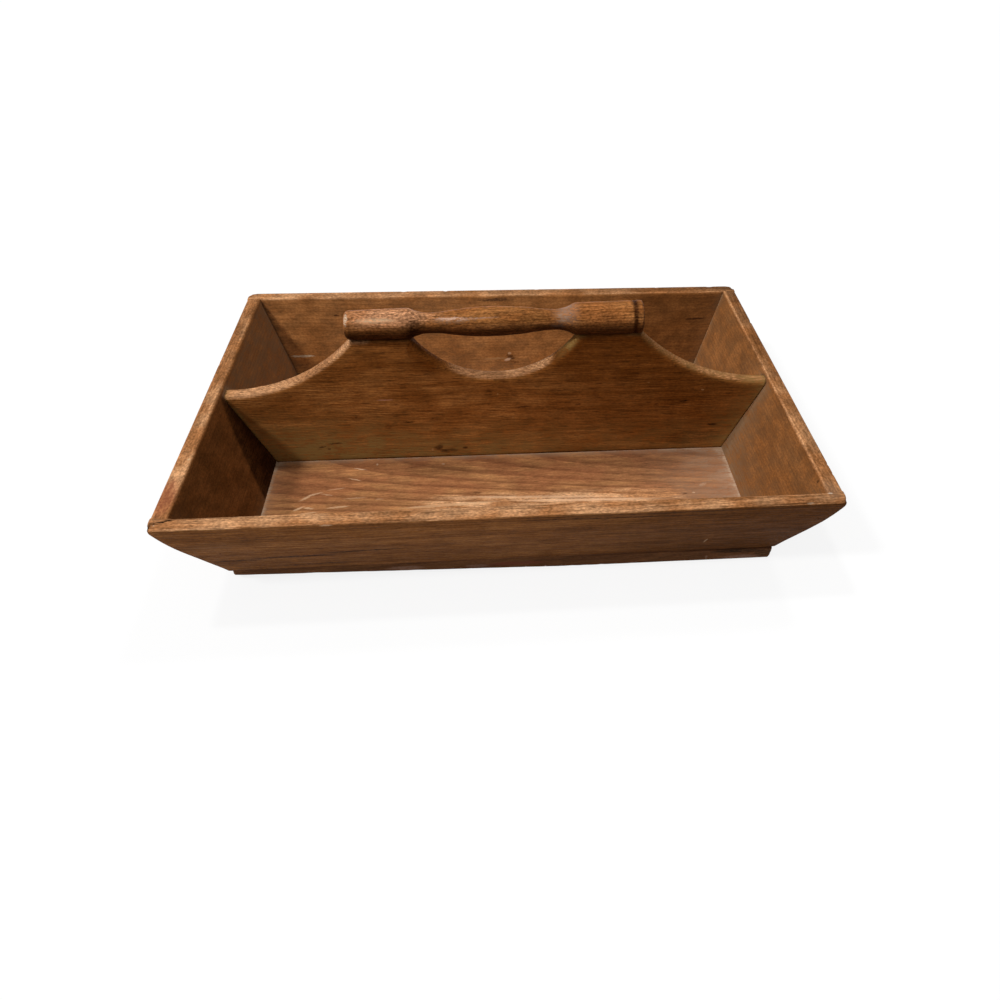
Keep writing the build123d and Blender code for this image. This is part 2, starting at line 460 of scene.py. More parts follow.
def divider_top():
    """The shaped top as points from the left tip to the right tip, about 1.25 mm apart."""
    left_z, right_z = rim_z - left_drop, rim_z - right_drop
    left_tip = (side_level - outer_x(left_z), left_z)
    right_tip = (outer_x(right_z) - side_level, right_z)
    left_peak = (handle_low.x + left_peak_setback, seat_at(handle_low.x))
    right_peak = (handle_high.x - right_peak_setback, seat_at(handle_high.x))
    opening_axis = opening_floor + opening_radius
    grips = []
    for side in (-1, 1):
        level = seat_at(opening_centre + side * 60)
        half_opening = sqrt(opening_radius**2 - (opening_axis - level) ** 2)
        grips.append((opening_centre + side * half_opening, level))
    wings = []
    for tip, peak in ((left_tip, left_peak), (right_tip, right_peak)):
        run, rise = peak[0] - tip[0], peak[1] - tip[1]
        radius = (run**2 + rise**2) / (2 * rise)
        wings.append(bend(tip, peak, (tip[0], tip[1] + radius), 86))
    opening = bend(grips[0], grips[1], (opening_centre, opening_axis), 120)
    seats = []
    for start, finish in ((left_peak, grips[0]), (grips[1], right_peak)):
        count = 32
        along = [start[0] + (finish[0] - start[0]) * i / count for i in range(1, count)]
        seats.append([(x, seat_at(x)) for x in along])
    return wings[0] + seats[0] + opening + seats[1] + wings[1][::-1]


def outward(top, reach):
    """The way out of the wood at each point of the shaped top, eased round its corners."""
    raw = []
    for i in range(len(top)):
        before, after = top[max(0, i - 1)], top[min(len(top) - 1, i + 1)]
        raw.append(Vector((before[1] - after[1], after[0] - before[0])).normalized())
    eased = []
    for place in top:
        total = Vector((0, 0))
        for other, way in zip(top, raw):
            away = hypot(other[0] - place[0], other[1] - place[1])
            if away < reach:
                total += way * (reach - away)
        eased.append(total.normalized())
    slope = Vector((sin(radians(splay)), cos(radians(splay))))
    for i, place in enumerate(top):
        for tip, side in ((top[0], -1), (top[-1], 1)):
            share = near(abs(place[0] - tip[0]), 12)
            edge_way = Vector((side * slope.x, slope.y))
            eased[i] = eased[i].lerp(edge_way, share).normalized()
    return eased


def nosing_at(x):
    """How round the top edge is worn: little on the left wing, well in the opening and to its right."""
    return 3.0 + 2.0 * near(max(0, -45 - x), 40) + 0.4 * rough(x, 7, 0, 18) + 0.25 * rough(x, 3, 0, 5)


def divider_looks(x, y, z, depth, on_seat):
    """The divider's looks at a place on its skin, this deep below its shaped top."""
    top = near(depth, 4.2) if depth > 0 else 1.0
    tip_away = outer_x(z) - side_level - abs(x)
    left_wing = near(x + 95, 8)
    right_wing = near(92 - x, 8)
    in_opening = near(max(0, abs(x - opening_centre - 4) - 28), 18)
    rising = near(abs(x - opening_centre - 55), 13)
    painted_flank_shade = near(abs(x - opening_centre + 54), 17)
    worn = top * (0.8 * left_wing + 0.95 * in_opening + 0.45 * right_wing)
    dust = settled((tip_away, 8 if x > 0 else 2.0, 0.7 if x > 0 else 1.2))
    above_floor = z - floor_z
    dust += (0.25 + 0.35 * near(max(0, x + 20), 90)) * near(above_floor, 42)
    dust += 0.6 * near(max(0, x + 130), 90) * near(above_floor, 60)
    dust += 0.5 * near(x + 172, 16) * near(above_floor, 12)
    dust += 0.8 * top * rising + 0.25 * top * right_wing
    # Dark joints at the foot and the ends; on the seats under the handle, painted contact shade.
    grime = settled((above_floor, 1.0, 0.9), (tip_away, 0.8, 0.3)) + 0.6 * on_seat * top
    upper = near(max(0, handle_axis - 22 - z), 34)
    patina = 0.8 * near(max(0, 120 - x), 150) + 0.85 * upper * near(abs(x + 20), 190)
    patina *= 1 - 0.8 * near(above_floor, 30)
    # Painted shade on the opening's left flank, which faces away from the light.
    patina += 1.2 * painted_flank_shade * near(depth, 15) * (1 - on_seat)
    return {
        "grain": (x + 4100, z + 240, y + 60 + x * 0.02),
        "worn": worn,
        "dust": min(1.0, dust),
        "grime": min(1.0, grime),
        "patina": min(1.0, patina),
        "outside": 0.0,
    }


def divider(material):
    """The divider, lofted along its shaped top: each rib runs up one face, over the nosing and down."""
    top = divider_top()
    ways = outward(top, 8.0)
    foot_x = outer_x(floor_z) - side_level
    tip_x = max(-top[0][0], top[-1][0])
    turn_steps = 6
    flat_steps = 4
    deep = 6.5
    falls = (0.1, 0.22, 0.35, 0.48, 0.6, 0.71, 0.8, 0.88, 0.93, 0.965, 0.985, 1.0)
    points = []
    looks = []
    ribs = []
    for (x, z), way in zip(top, ways):
        on_seat = near(abs(z - seat_at(x)), 2)
        radius = nosing_at(x) * (1 - 0.6 * on_seat)
        root = Vector((x, z)) - way * deep
        foot = Vector((x / tip_x * foot_x, floor_z))
        half_rib = []
        for step in range(turn_steps):
            turn = pi / 2 * step / turn_steps
            half_rib.append((radius * (1 - cos(turn)), half_divider - radius * (1 - sin(turn))))
        for depth in (radius, (radius + deep) / 2, deep):
            half_rib.append((depth, half_divider))
        walls = []
        for side in (-1, 1):
            wall = []
            for fall in falls[::-1]:
                place = root.lerp(foot, fall)
                wall.append((place.x, side * half_divider, place.y, (Vector((x, z)) - place).length))
            for depth, level in half_rib[::-1]:
                place = Vector((x, z)) - way * depth
                wall.append((place.x, side * level, place.y, depth))
            for step in range(1, flat_steps):
                level = (half_divider - radius) * (1 - step / flat_steps)
                wall.append((x, side * level, z, 0.0))
            walls.append(wall)
        loop = walls[0] + [(x, 0.0, z, 0.0)] + walls[1][::-1]
        start = len(points)
        for px, py, pz, depth in loop:
            points.append((px, py, pz))
            looks.append(divider_looks(px, py, pz, depth, on_seat))
        ribs.append(range(start, start + len(loop)))
    faces = []
    size = len(ribs[0])
    for left, right in zip(ribs, ribs[1:]):
        for i in range(size):
            j = (i + 1) % size
            faces.append((left[i], left[j], right[j], right[i]))
    faces.append(tuple(ribs[0]))
    faces.append(tuple(ribs[-1])[::-1])
    return make_piece("divider", points, faces, looks, material)


# The handle


def ogee_at(x, start, finish, first_radius):
    """The radius at x of an S of two arcs from start to finish, level at both ends."""
    run, rise = finish[0] - start[0], finish[1] - start[1]
    both = (run**2 + rise**2) / (2 * abs(rise))
    share = first_radius / both
    way = 1 if rise > 0 else -1
    if abs(x - start[0]) < share * abs(run):
        return start[1] + way * (first_radius - sqrt(first_radius**2 - (x - start[0]) ** 2))
    second = both - first_radius
    return finish[1] - way * (second - sqrt(second**2 - (x - finish[0]) ** 2))


def turned_radius(x):
    """The handle's radius at x from its belly's middle, as it left the lathe."""
    right = x > 0
    away = abs(x)
    shoulder = right_shoulder_radius if right else left_shoulder_radius
    end = right_end_radius if right else left_end_radius
    reach = handle_high.x - handle_centre if right else handle_centre - handle_low.x
    if away < neck_reach:
        radius = ogee_at(away, (neck_reach, neck_radius), (0, belly_radius), neck_hollow)
    elif away < shoulder_reach:
        radius = ogee_at(away, (shoulder_reach, shoulder), (neck_reach, neck_radius), shoulder_round)
    else:
        share = (away - shoulder_reach) / (reach - shoulder_reach)
        radius = shoulder + (end - shoulder) * share
    to_end = reach - away
    end_round = right_end_round if right else left_end_round
    if to_end < end_round:
        radius -= end_round - sqrt(end_round**2 - (end_round - to_end) ** 2)
    if right:
        groove = abs(to_end - ring_from_end) / (ring_width / 2)
        radius -= ring_depth * max(0.0, 1 - groove)
    return radius


def handle(material):
    """The handle, ring by ring, a little out of true, with flats where it lies on the peaks."""
    around = 96
    left, right = handle_low.x - handle_centre, handle_high.x - handle_centre
    ends = (0, 0.08, 0.3, 0.65, 1.15, 1.75, 2.4, 3.2)
    groove = [right - ring_from_end + ring_width * step / 8 for step in range(-5, 6)]
    places = cuts(right - left, 1.1, ends)
    places = [place + (left + right) / 2 for place in places]
    places = sorted([p for p in places if not groove[0] - 0.3 < p < groove[-1] + 0.3] + groove)
    dents = []
    for i in range(26):
        dents.append((random.Random(5 + i).uniform(left, right), random.Random(50 + i).uniform(0, 2 * pi)))
    points = []
    looks = []

    def lay(x, radius, turn, end_grain):
        y, z = radius * sin(turn), radius * cos(turn)
        if abs(x) > neck_reach:
            z = max(z, -seat_drop)
        points.append((handle_centre + x, y, handle_axis + z - handle_tilt * (right - x)))
        under = 0.5 - 0.5 * cos(turn)
        shoulder = 0.5 * near(abs(x - shoulder_reach + 9), 12)
        # Painted shade where the left shoulder turns down into the neck, below the top of the handle.
        painted_neck_shade = near(abs(x + 54), 11) * near(max(0, 0.3 - under), 0.3)
        in_ring = near(abs(right - ring_from_end - x), ring_width * 0.75)
        looks.append({
            "grain": (x + 5200, y + 9, z + 15),
            "worn": near(abs(x + 72), 60) * near(under, 0.65),
            "dust": shoulder * near(under, 0.6),
            "grime": min(1.0, 1.2 * in_ring + 0.8 * near(abs(right - x), 1.4) + 0.85 * painted_neck_shade),
            # Painted shade: darker towards the underside.
            "patina": near(max(0, 0.7 - under), 0.5),
            "outside": end_grain,
        })

    for x in places:
        for step in range(around):
            turn = 2 * pi * step / around
            radius = turned_radius(x)
            spin = (cos(turn) * 9, sin(turn) * 9)
            radius -= 0.16 + 0.16 * rough(x, *spin, 24) + 0.07 * rough(x, *spin, 5)
            for at, side in dents:
                away = hypot(x - at, 9 * (abs((turn - side + pi) % (2 * pi) - pi)))
                radius -= 0.35 * near(away, 2.6)
            lay(x, radius, turn, 0.0)
    faces = []
    for ring in range(len(places) - 1):
        for step in range(around):
            a, b = ring * around + step, ring * around + (step + 1) % around
            faces.append((a, b, b + around, a + around))
    shrink = (0.94, 0.8, 0.6, 0.38, 0.16)
    for x, first in ((places[0], 0), (places[-1], (len(places) - 1) * around)):
        edge = turned_radius(x) - 0.2
        rim = first
        for share in shrink:
            start = len(points)
            for step in range(around):
                turn = 2 * pi * step / around
                lay(x, edge * share, turn, 1.0)
                a, b = step, (step + 1) % around
                faces.append((rim + a, rim + b, start + b, start + a))
            rim = start
        faces.append(tuple(range(rim, rim + around)))
    return make_piece("handle", points, faces, looks, material)


# Materials


def rgb(code):
    """An sRGB hex colour as Blender's linear colour."""
    shares = [int(code[i:i + 2], 16) / 255 for i in (1, 3, 5)]
    linear = [s / 12.92 if s <= 0.04045 else ((s + 0.055) / 1.055) ** 2.4 for s in shares]
    return (*linear, 1.0)


def add(tree, kind, inputs=None, give=0, **settings):
    """Adds a shader node with its settings, values and links, and gives one of its outputs."""
    node = tree.nodes.new("ShaderNode" + kind)
    for setting, value in settings.items():
        setattr(node, setting, value)
    for name, value in (inputs or {}).items():
        if isinstance(value, bpy.types.NodeSocket):
            tree.links.new(value, node.inputs[name])
        else:
            node.inputs[name].default_value = value
    return node.outputs[give] if node.outputs else None


def product(tree, first, second, kind="Math"):
    """Two numbers multiplied, or two vectors, number by number."""
    return add(tree, kind, {0: first, 1: second}, operation="MULTIPLY")


def product_plus(tree, first, second, third, kind="Math", **settings):
    """The same, with a third number or vector added."""
    return add(tree, kind, {0: first, 1: second, 2: third}, operation="MULTIPLY_ADD", **settings)


def ranged(tree, value, span=(0, 1), onto=(0, 1), **settings):
    """A number carried over from one span onto another, and held within it."""
    ends = {"From Min": span[0], "From Max": span[1], "To Min": onto[0], "To Max": onto[1]}
    return add(tree, "MapRange", {"Value": value} | ends, **settings)


def eased(tree, value, span, onto=(0, 1)):
    """The same, setting off and arriving gently."""
    return ranged(tree, value, span, onto, interpolation_type="SMOOTHSTEP")


def mixed(tree, share, first, second, **settings):
    """A colour with this share of a second one over it."""
    return add(tree, "Mix", {0: share, 6: first, 7: second}, give=2, data_type="RGBA", **settings)


def bare_material(name):
    """A new material and its node tree, still empty."""
    material = bpy.data.materials.new(name)
    material.use_nodes = True
    material.node_tree.nodes.clear()
    return material, material.node_tree


def place_on_tray(tree):
    """Where a point lies on the tray, in millimetres."""
    metres = add(tree, "TexCoord", give="Object")
    return add(tree, "VectorMath", {0: metres, "Scale": 1 / MM}, operation="SCALE")


def strayed(tree, place, pace, reach):
    """A place shifted here and there by up to half this reach, changing at this pace for each millimetre."""
    slow = product(tree, place, pace, "VectorMath")
    drift = add(tree, "TexNoise", {"Vector": slow, "Scale": 1.0, "Detail": 2.0}, give="Color")
    centred = add(tree, "VectorMath", {0: drift, 1: (0.5, 0.5, 0.5)}, operation="SUBTRACT")
    return product_plus(tree, centred, reach, place, "VectorMath")


def layered(tree, colour, tones, layers):
    """The colour under further tones. Each layer is where it lies, how strongly it shows and its tone."""
    for share, strength, tone in layers:
        colour = mixed(tree, product(tree, share, strength), colour, rgb(tones[tone]))
    return colour


def growth_rings(tree, grain, width, first):
    """Pale spring wood darkening to a hard summer line, once in each ring's width: 0 pale, 1 dark."""
    across = product(tree, grain, (0, 1, 1), "VectorMath")
    radius = add(tree, "VectorMath", {0: across}, give="Value", operation="LENGTH")
    years = product_plus(tree, radius, 1 / width, -first / width)
    season = add(tree, "Math", {0: years}, operation="FRACT")
    summer = eased(tree, season, (0.4, 0.88))
    winter = eased(tree, season, (0.89, 1), (1, 0))
    return product(tree, summer, winter)


def streaks(tree, grain, length, thickness, low, high, detail=3.0):
    """Streaks that run with the grain, 0 to 1 between two levels of noise; sizes in millimetres."""
    pace = (1 / length, 1 / thickness, 1 / thickness)
    drawn = product(tree, grain, pace, "VectorMath")
    level = add(tree, "TexNoise", {"Vector": drawn, "Scale": 1.0, "Detail": detail})
    return eased(tree, level, (low, high))


def marked(tree, colour, broken, upright, marks):
    """Knots, cracks, chips and scratches, and some painted highlights and painted shade, ragged and broken.
    Each is a colour, a strength, its middle and reach in tray millimetres, and its slope in degrees, seen
    from the front or from above."""
    ragged = strayed(tree, place_on_tray(tree), (0.45, 0.45, 0.45), (1.6, 1.6, 1.6))
    axis = (0, 1, 0) if upright else (0, 0, -1)
    for code, strength, middle, reach, slope in marks:
        turned = {"Vector": ragged, "Center": middle, "Axis": axis, "Angle": radians(slope)}
        turned = add(tree, "VectorRotate", turned)
        scale, shift = [1 / r for r in reach], [-m / r for m, r in zip(middle, reach)]
        share = product_plus(tree, turned, scale, shift, "VectorMath")
        away = add(tree, "VectorMath", {0: share}, give="Value", operation="LENGTH")
        inside = eased(tree, away, (0.45, 1), (strength, 0))
        colour = mixed(tree, product(tree, inside, broken), colour, rgb(code))
    return colour


def waxed_wood(name, tones, figure, marks, roughness, specular):
    """Wood planed or turned by hand and waxed for a century: growth rings and fibres under a brown,
    mottled patina, paler and more golden where hands wear it, and grey where dust lies in the corners.
    The shares of patina, grime and the outside also carry painted shade in places, and the worn share a
    painted highlight along some rim edges."""
    material, tree = bare_material(name)
    grain = add(tree, "Attribute", give="Vector", attribute_name="grain")
    worn, dust, grime, patina, outside = [
        add(tree, "Attribute", give="Fac", attribute_name=look) for look in look_names[1:]
    ]

    # The trunk grew crooked, by so much in 140 mm along it and 38 mm across.
    crooked = strayed(tree, grain, (1 / 140, 1 / 38, 1 / 38), (0, figure["sway"], figure["sway"]))
    rings = growth_rings(tree, crooked, figure["ring_width"], figure["first_ring"])
    # Real fibres are a twentieth of a millimetre thick. They are drawn in bundles, so that they show.
    fibres = streaks(tree, grain, length=20, thickness=0.9, low=0.3, high=0.7)
    broad = streaks(tree, grain, length=110, thickness=4, low=0.38, high=0.64)
    dashes = streaks(tree, grain, length=figure["dash"], thickness=0.85, low=0.57, high=0.68, detail=1.5)
    mottle = streaks(tree, grain, length=30, thickness=17, low=0.38, high=0.64, detail=5)
    checks = streaks(tree, grain, length=75, thickness=0.9, low=0.56, high=0.7, detail=2)
    specks = streaks(tree, grain, length=2, thickness=1.1, low=0.26, high=0.74, detail=5)
    blotches = streaks(tree, grain, length=13, thickness=8, low=0.34, high=0.66, detail=5)

    colour = layered(tree, rgb(tones["spring"]), tones, (
        (rings, figure["ring_share"], "summer"),
        (broad, figure["streak_share"], "streak"),
        (mottle, 0.6, "mottle"),
        (patina, 0.85, "patina"),
        (outside, 0.95, "outside"),
    ))
    fine = 1.0
    swings = ((fibres, "fibre"), (specks, "speck"), (rings, "band"), (broad, "band"), (blotches, "blotch"))
    for share, named in swings:
        swing = figure[named]
        fine = product(tree, ranged(tree, share, onto=(1 + swing, 1 - swing)), fine)
    colour = mixed(tree, 1, colour, fine, blend_type="MULTIPLY")

    darker = product_plus(tree, rings, figure["ring_share"], mottle, use_clamp=True)
    honey = mixed(tree, darker, rgb(tones["honey"]), rgb(tones["rubbed"]))
    glint = product(tree, ranged(tree, specks, onto=(1.2, 0.82)), fine)
    honey = mixed(tree, 1, honey, glint, blend_type="MULTIPLY")
    uneven = ranged(tree, fibres, onto=(1.15, 0.85))
    rubbed = eased(tree, product(tree, uneven, worn), (0.15, 0.85), (0, 0.95))
    colour = mixed(tree, rubbed, colour, honey)

    speckled = add(tree, "Math", {0: specks, 1: fibres}, operation="ADD")
    patchy = add(tree, "Math", {0: speckled, 1: blotches}, operation="ADD")
    patchy = ranged(tree, patchy, (0.8, 2.2), (0.3, 1.3))
    smeared = ranged(tree, patchy, (0.4, 1.25), (0.75, 1))
    colour = layered(tree, colour, tones, (
        (dashes, figure["dash_share"], "fleck"),
        (checks, figure["check_share"], "fleck"),
        (dust, patchy, "dust"),
        (grime, smeared, "fleck"),
    ))
    broken = eased(tree, speckled, (0.65, 1.25), (figure["unbroken"], 1))
    colour = marked(tree, colour, broken, figure["upright"], marks)

    height = product_plus(tree, fibres, -0.6, 1)
    for share, rise in ((rings, 0.3), (dashes, -0.7), (mottle, 0.9), (specks, 0.25)):
        height = product_plus(tree, share, rise, height)
    normal = add(tree, "Bump", {"Height": height, "Strength": figure["relief"], "Distance": 0.25 * MM})
    dull = ranged(tree, fibres, onto=(roughness - 0.06, roughness + 0.12))
    dull = product_plus(tree, dust, 0.35, dull)
    wax = {"Base Color": colour, "Roughness": dull, "Normal": normal, "IOR": 1.46}
    surface = add(tree, "BsdfPrincipled", wax | {"Specular IOR Level": specular})
    add(tree, "OutputMaterial", {"Surface": surface})
    return material


def rusted_iron(name):
    """Cut nails of wrought iron, rusted dark and waxed over: dull brown-black with ruddy bloom."""
    material, tree = bare_material(name)
    bloom = add(tree, "TexNoise", {"Vector": place_on_tray(tree), "Scale": 1.6, "Detail": 4.0})
    colour = mixed(tree, bloom, rgb("#241a15"), rgb("#5a3420"))
    normal = add(tree, "Bump", {"Height": bloom, "Strength": 0.5, "Distance": 0.1 * MM})
    rust = {"Base Color": colour, "Metallic": 0.35, "Roughness": 0.7, "Normal": normal}
    surface = add(tree, "BsdfPrincipled", rust)
    add(tree, "OutputMaterial", {"Surface": surface})
    return material


def whittled_ash(name):
    """Whittled ash pegs, bare inside their holes: pale, with long open pores."""
    material, tree = bare_material(name)
    along = product(tree, place_on_tray(tree), (1.6, 1.6, 0.09), "VectorMath")
    pores = add(tree, "TexNoise", {"Vector": along, "Scale": 1.0, "Detail": 3.0})
    colour = mixed(tree, pores, rgb("#b9905f"), rgb("#7d5733"))
    normal = add(tree, "Bump", {"Height": pores, "Strength": 0.4, "Distance": 0.1 * MM})
    surface = add(tree, "BsdfPrincipled", {"Base Color": colour, "Roughness": 0.6, "Normal": normal})
    add(tree, "OutputMaterial", {"Surface": surface})
    return material


side_tones = {
    "spring": "#a06b3d", "summer": "#784926", "streak": "#8a552b", "mottle": "#87542a", "patina": "#563013",
    "outside": "#3e2006", "fleck": "#2c1608", "honey": "#b6875f", "rubbed": "#9b6840", "dust": "#84664a",
}
base_tones = {
    "spring": "#b5804f", "summer": "#6b3f26", "streak": "#9c6640", "mottle": "#965a38", "patina": "#80563a",
    "outside": "#573720", "fleck": "#3a1e10", "honey": "#e9b789", "rubbed": "#b07c50", "dust": "#b1947a",
}
divider_tones = {
    "spring": "#a16a37", "summer": "#7c4b1e", "streak": "#885020", "mottle": "#7a4519", "patina": "#5d300c",
    "outside": "#5c3a22", "fleck": "#2a1405", "honey": "#b88860", "rubbed": "#966844", "dust": "#927240",
}
# The handle's near-black patina tone is painted shade on its underside.
handle_tones = {
    "spring": "#956236", "summer": "#6d401d", "streak": "#774921", "mottle": "#804b24", "patina": "#220902",
    "outside": "#5c3418", "fleck": "#2a1204", "honey": "#b17f5b", "rubbed": "#986541", "dust": "#9a8474",
}

# Marks of age and use, and a few painted highlights and painted shadows. Each has its colour, strength,
# middle, reach and slope.


def marks_on(level, depth, upright, rows):
    """Marks on a face at this level, with their places, half lengths and half widths within it."""
    marks = []
    thin = 1 if upright else 2
    for code, strength, x, across, length, width, slope in rows:
        middle, reach = [x, across], [length, width]
        middle.insert(thin, level)
        reach.insert(thin, depth)
        marks.append((code, strength, middle, reach, slope))
    return marks


# On the sides, with slopes as seen from the front
side_marks = [
    # Shrinkage cracks in the front
    ("#1e0e06", 1, (-90, -129, 37), (36, 5, 1.5), 3),
    ("#24130a", 1, (-136, -127, 32), (40, 5, 1.4), 2),
    ("#24130a", 0.9, (-170, -126, 29), (22, 5, 1.3), 0),
    ("#24130a", 0.8, (-124, -121, 18), (36, 5, 1.4), 2),
    ("#301a0c", 0.6, (-150, -139, 60), (22, 5, 1.1), 0),
    ("#2c180c", 0.65, (-50, -126, 30), (15, 5, 1.1), 0),
    # Painted shade under the front rim's edge
    ("#2a1a10", 0.6, (95, -144, 72.2), (125, 3, 1.0), 0),
    # Pin hole
    ("#26120a", 0.8, (-178, -131, 42), (1.3, 4, 1.0), 0),
    # Scored line below the front rim
    ("#22120a", 0.75, (62, -143, 69), (112, 4, 0.8), -1),
    # Scuff low on the front's right, and a smudge by its left corner
    ("#a98a6e", 0.6, (130, -126, 28), (0.8, 4, 5), -10),
    ("#6b4a2e", 0.35, (-178, -136, 54), (26, 6, 10), 15),
    # Open joint at the front left corner
    ("#140a05", 1, (-209, -141, 73), (1.8, 2.6, 4), 0),
    ("#140a05", 1, (-207, -139, 74), (3.4, 1.3, 4), 0),
    ("#140a05", 1, (-203, -138, 74), (4.0, 1.1, 4), 0),
    ("#140a05", 1, (-199, -137, 74), (3.4, 1.1, 4), 0),
    # Chip beside it
    ("#cbb294", 0.6, (-206, -141, 74), (1.0, 0.7, 2), 0),
    # Bare wood along the front rim's outer edge
    ("#d8b08c", 0.45, (-108, -145, 73.6), (5, 1.0, 0.8), 0),
    # Bruised front right corner
    ("#74563f", 0.6, (203, -132, 75), (6, 12, 3), 0),
    ("#b09a80", 0.5, (186, -144, 74), (3, 1.0, 2), 0),
    # Ruddy patch on the left rim
    ("#8a4a36", 0.55, (-206, -116, 75), (7, 22, 3), 0),
    # Knot in the rear board, rubbed pale around
    ("#a87c52", 0.8, (-4, 115, 24), (14, 5, 1.1), 2),
    ("#341a0c", 0.85, (10, 115, 25), (5, 5, 2.6), -15),
    ("#4a2812", 0.7, (14, 114, 21), (6, 5, 1.2), -10),
    ("#c49a74", 0.9, (9, 115, 28), (2.2, 5, 1.4), 0),
    ("#d0a888", 0.95, (7, 114, 23), (4.2, 5, 1.5), 10),
    # Scratch, flecks and a dark line inside the rear board, and painted shadow under its rim
    ("#c0a88c", 1, (-169, 116, 29.5), (12, 5, 1.2), 0),
    ("#35190c", 0.8, (-138, 129, 61), (3.2, 5, 1.0), 0),
    ("#2a1208", 0.85, (175, 126, 53), (11, 5, 1.1), 2),
    # Painted shadow under the rear rim, behind the handle
    ("#2b1f18", 0.7, (-4, 134, 71), (21, 5, 2.0), 0),
    # Worm holes by the right rim
    ("#20100a", 0.85, (199, -121, 72), (1.3, 1.3, 1.3), 0),
    ("#20100a", 0.85, (200, -110, 75), (1.1, 1.1, 1.4), 0),
] + marks_on(rim_z, 2, False, (
    # Pores and flecks on the front rim
    ("#3f210e", 0.8, -139, -139, 1.2, 0.9, 0),
    ("#5f3618", 0.7, 90, -141, 1.3, 0.9, 0),
    ("#5f3618", 0.7, 46, -135, 1.2, 0.8, 0),
    ("#5f3618", 0.7, 25, -140, 1.1, 0.8, 0),
    ("#5f3618", 0.6, -60, -141, 1.1, 0.8, 0),
    ("#cdb8a4", 0.7, 201, -136, 2.0, 0.8, 0),
    ("#4a2a14", 0.6, 149, -142, 3.5, 0.8, 0),
    # Fleck and nick on the left rim
    ("#4f2c12", 0.8, -204, -21, 1.3, 1.3, 0),
    ("#dcb88c", 0.6, -202, -80, 1.4, 1.2, 0),
))

# On the base's edge and the tray's floor, with slopes as seen from above
base_marks = [
    # Chips along the base's lower edge
    ("#c0a094", 0.8, (11, -117, 1), (0.9, 4, 1.2), 0),
    ("#c0a094", 0.8, (24, -117, 1), (1.1, 4, 1.4), 0),
    ("#a88878", 0.7, (84, -118, 1), (3.4, 4, 0.9), 0),
    ("#8a6a5a", 0.6, (-70, -117, 5), (16, 4, 2.4), 0),
    ("#8a6a5a", 0.5, (-22, -117, 4), (10, 4, 2.0), 0),
    ("#7a4030", 0.5, (5, -117, 5), (26, 4, 2.6), 0),
    ("#8a6a5a", 0.6, (136, -118, 4), (1.0, 4, 2), 0),
    ("#8a6a5a", 0.6, (160, -119, 3), (17, 4, 2.4), 0),
    # Dark stain at its right end
    ("#1e150c", 0.75, (156, -118, 9), (24, 4, 2.4), 0),
    ("#1e1a10", 0.6, (176, -118, 6), (9, 5, 4), 0),
] + marks_on(floor_z, 2, False, (
    # Pale streaks behind the front, with a dark line between
    ("#ecc098", 0.6, 20, -57, 70, 1.8, -3),
    ("#ecc098", 0.65, 60, -62, 66, 2.2, -2),
    ("#e4b88c", 0.6, -40, -62, 44, 2.0, 3),
    ("#6e4528", 0.55, 30, -59.5, 80, 0.7, -2),
    # Scratches
    ("#ecc6a0", 0.75, -109, -18, 6.5, 0.8, -14),
    ("#e4bc94", 0.7, -112, -30, 6.5, 0.7, -18),
    ("#d6ae88", 0.7, -145, -49, 6, 1.3, 36),
    ("#d6ae88", 0.7, -139, -45, 7, 1.2, 18),
    ("#cfa680", 0.6, -130, -46, 6, 0.9, -16),
    ("#cfa680", 0.6, -124, -40, 8, 0.9, 10),
    ("#dcb48c", 0.65, -148, -60, 6, 1.3, 32),
    ("#dcb48c", 0.65, -141, -60, 5, 1.4, -10),
    ("#dcb48c", 0.6, -140, -65, 8, 0.8, 5),
    ("#dcb48c", 0.65, -121, -60, 10, 1.2, 6),
    ("#cfa67e", 0.55, -110, -51, 10, 1.1, 3),
    ("#cfa67e", 0.45, -92, -53, 4, 1.0, 0),
    # Dark spots
    ("#543420", 0.65, -21, -50, 4.5, 1.3, 0),
    ("#6b4020", 0.55, 34, -52, 3.6, 0.9, 0),
    ("#4a2a1a", 0.65, 132, -60, 2.6, 1.2, 20),
    # Rubbed spots and a line at the right, and crumbs by the divider
    ("#d8b898", 0.7, 139, -59, 1.5, 0.8, 0),
    ("#6a4028", 0.5, 120, -50, 10, 0.8, -3),
    ("#b8987c", 0.45, 148, -50, 4, 1.8, 20),
    ("#e0c4a4", 0.6, -97, -13, 1.0, 1.6, 0),
    ("#e0c4a4", 0.6, -47, -15, 1.8, 0.8, 0),
))

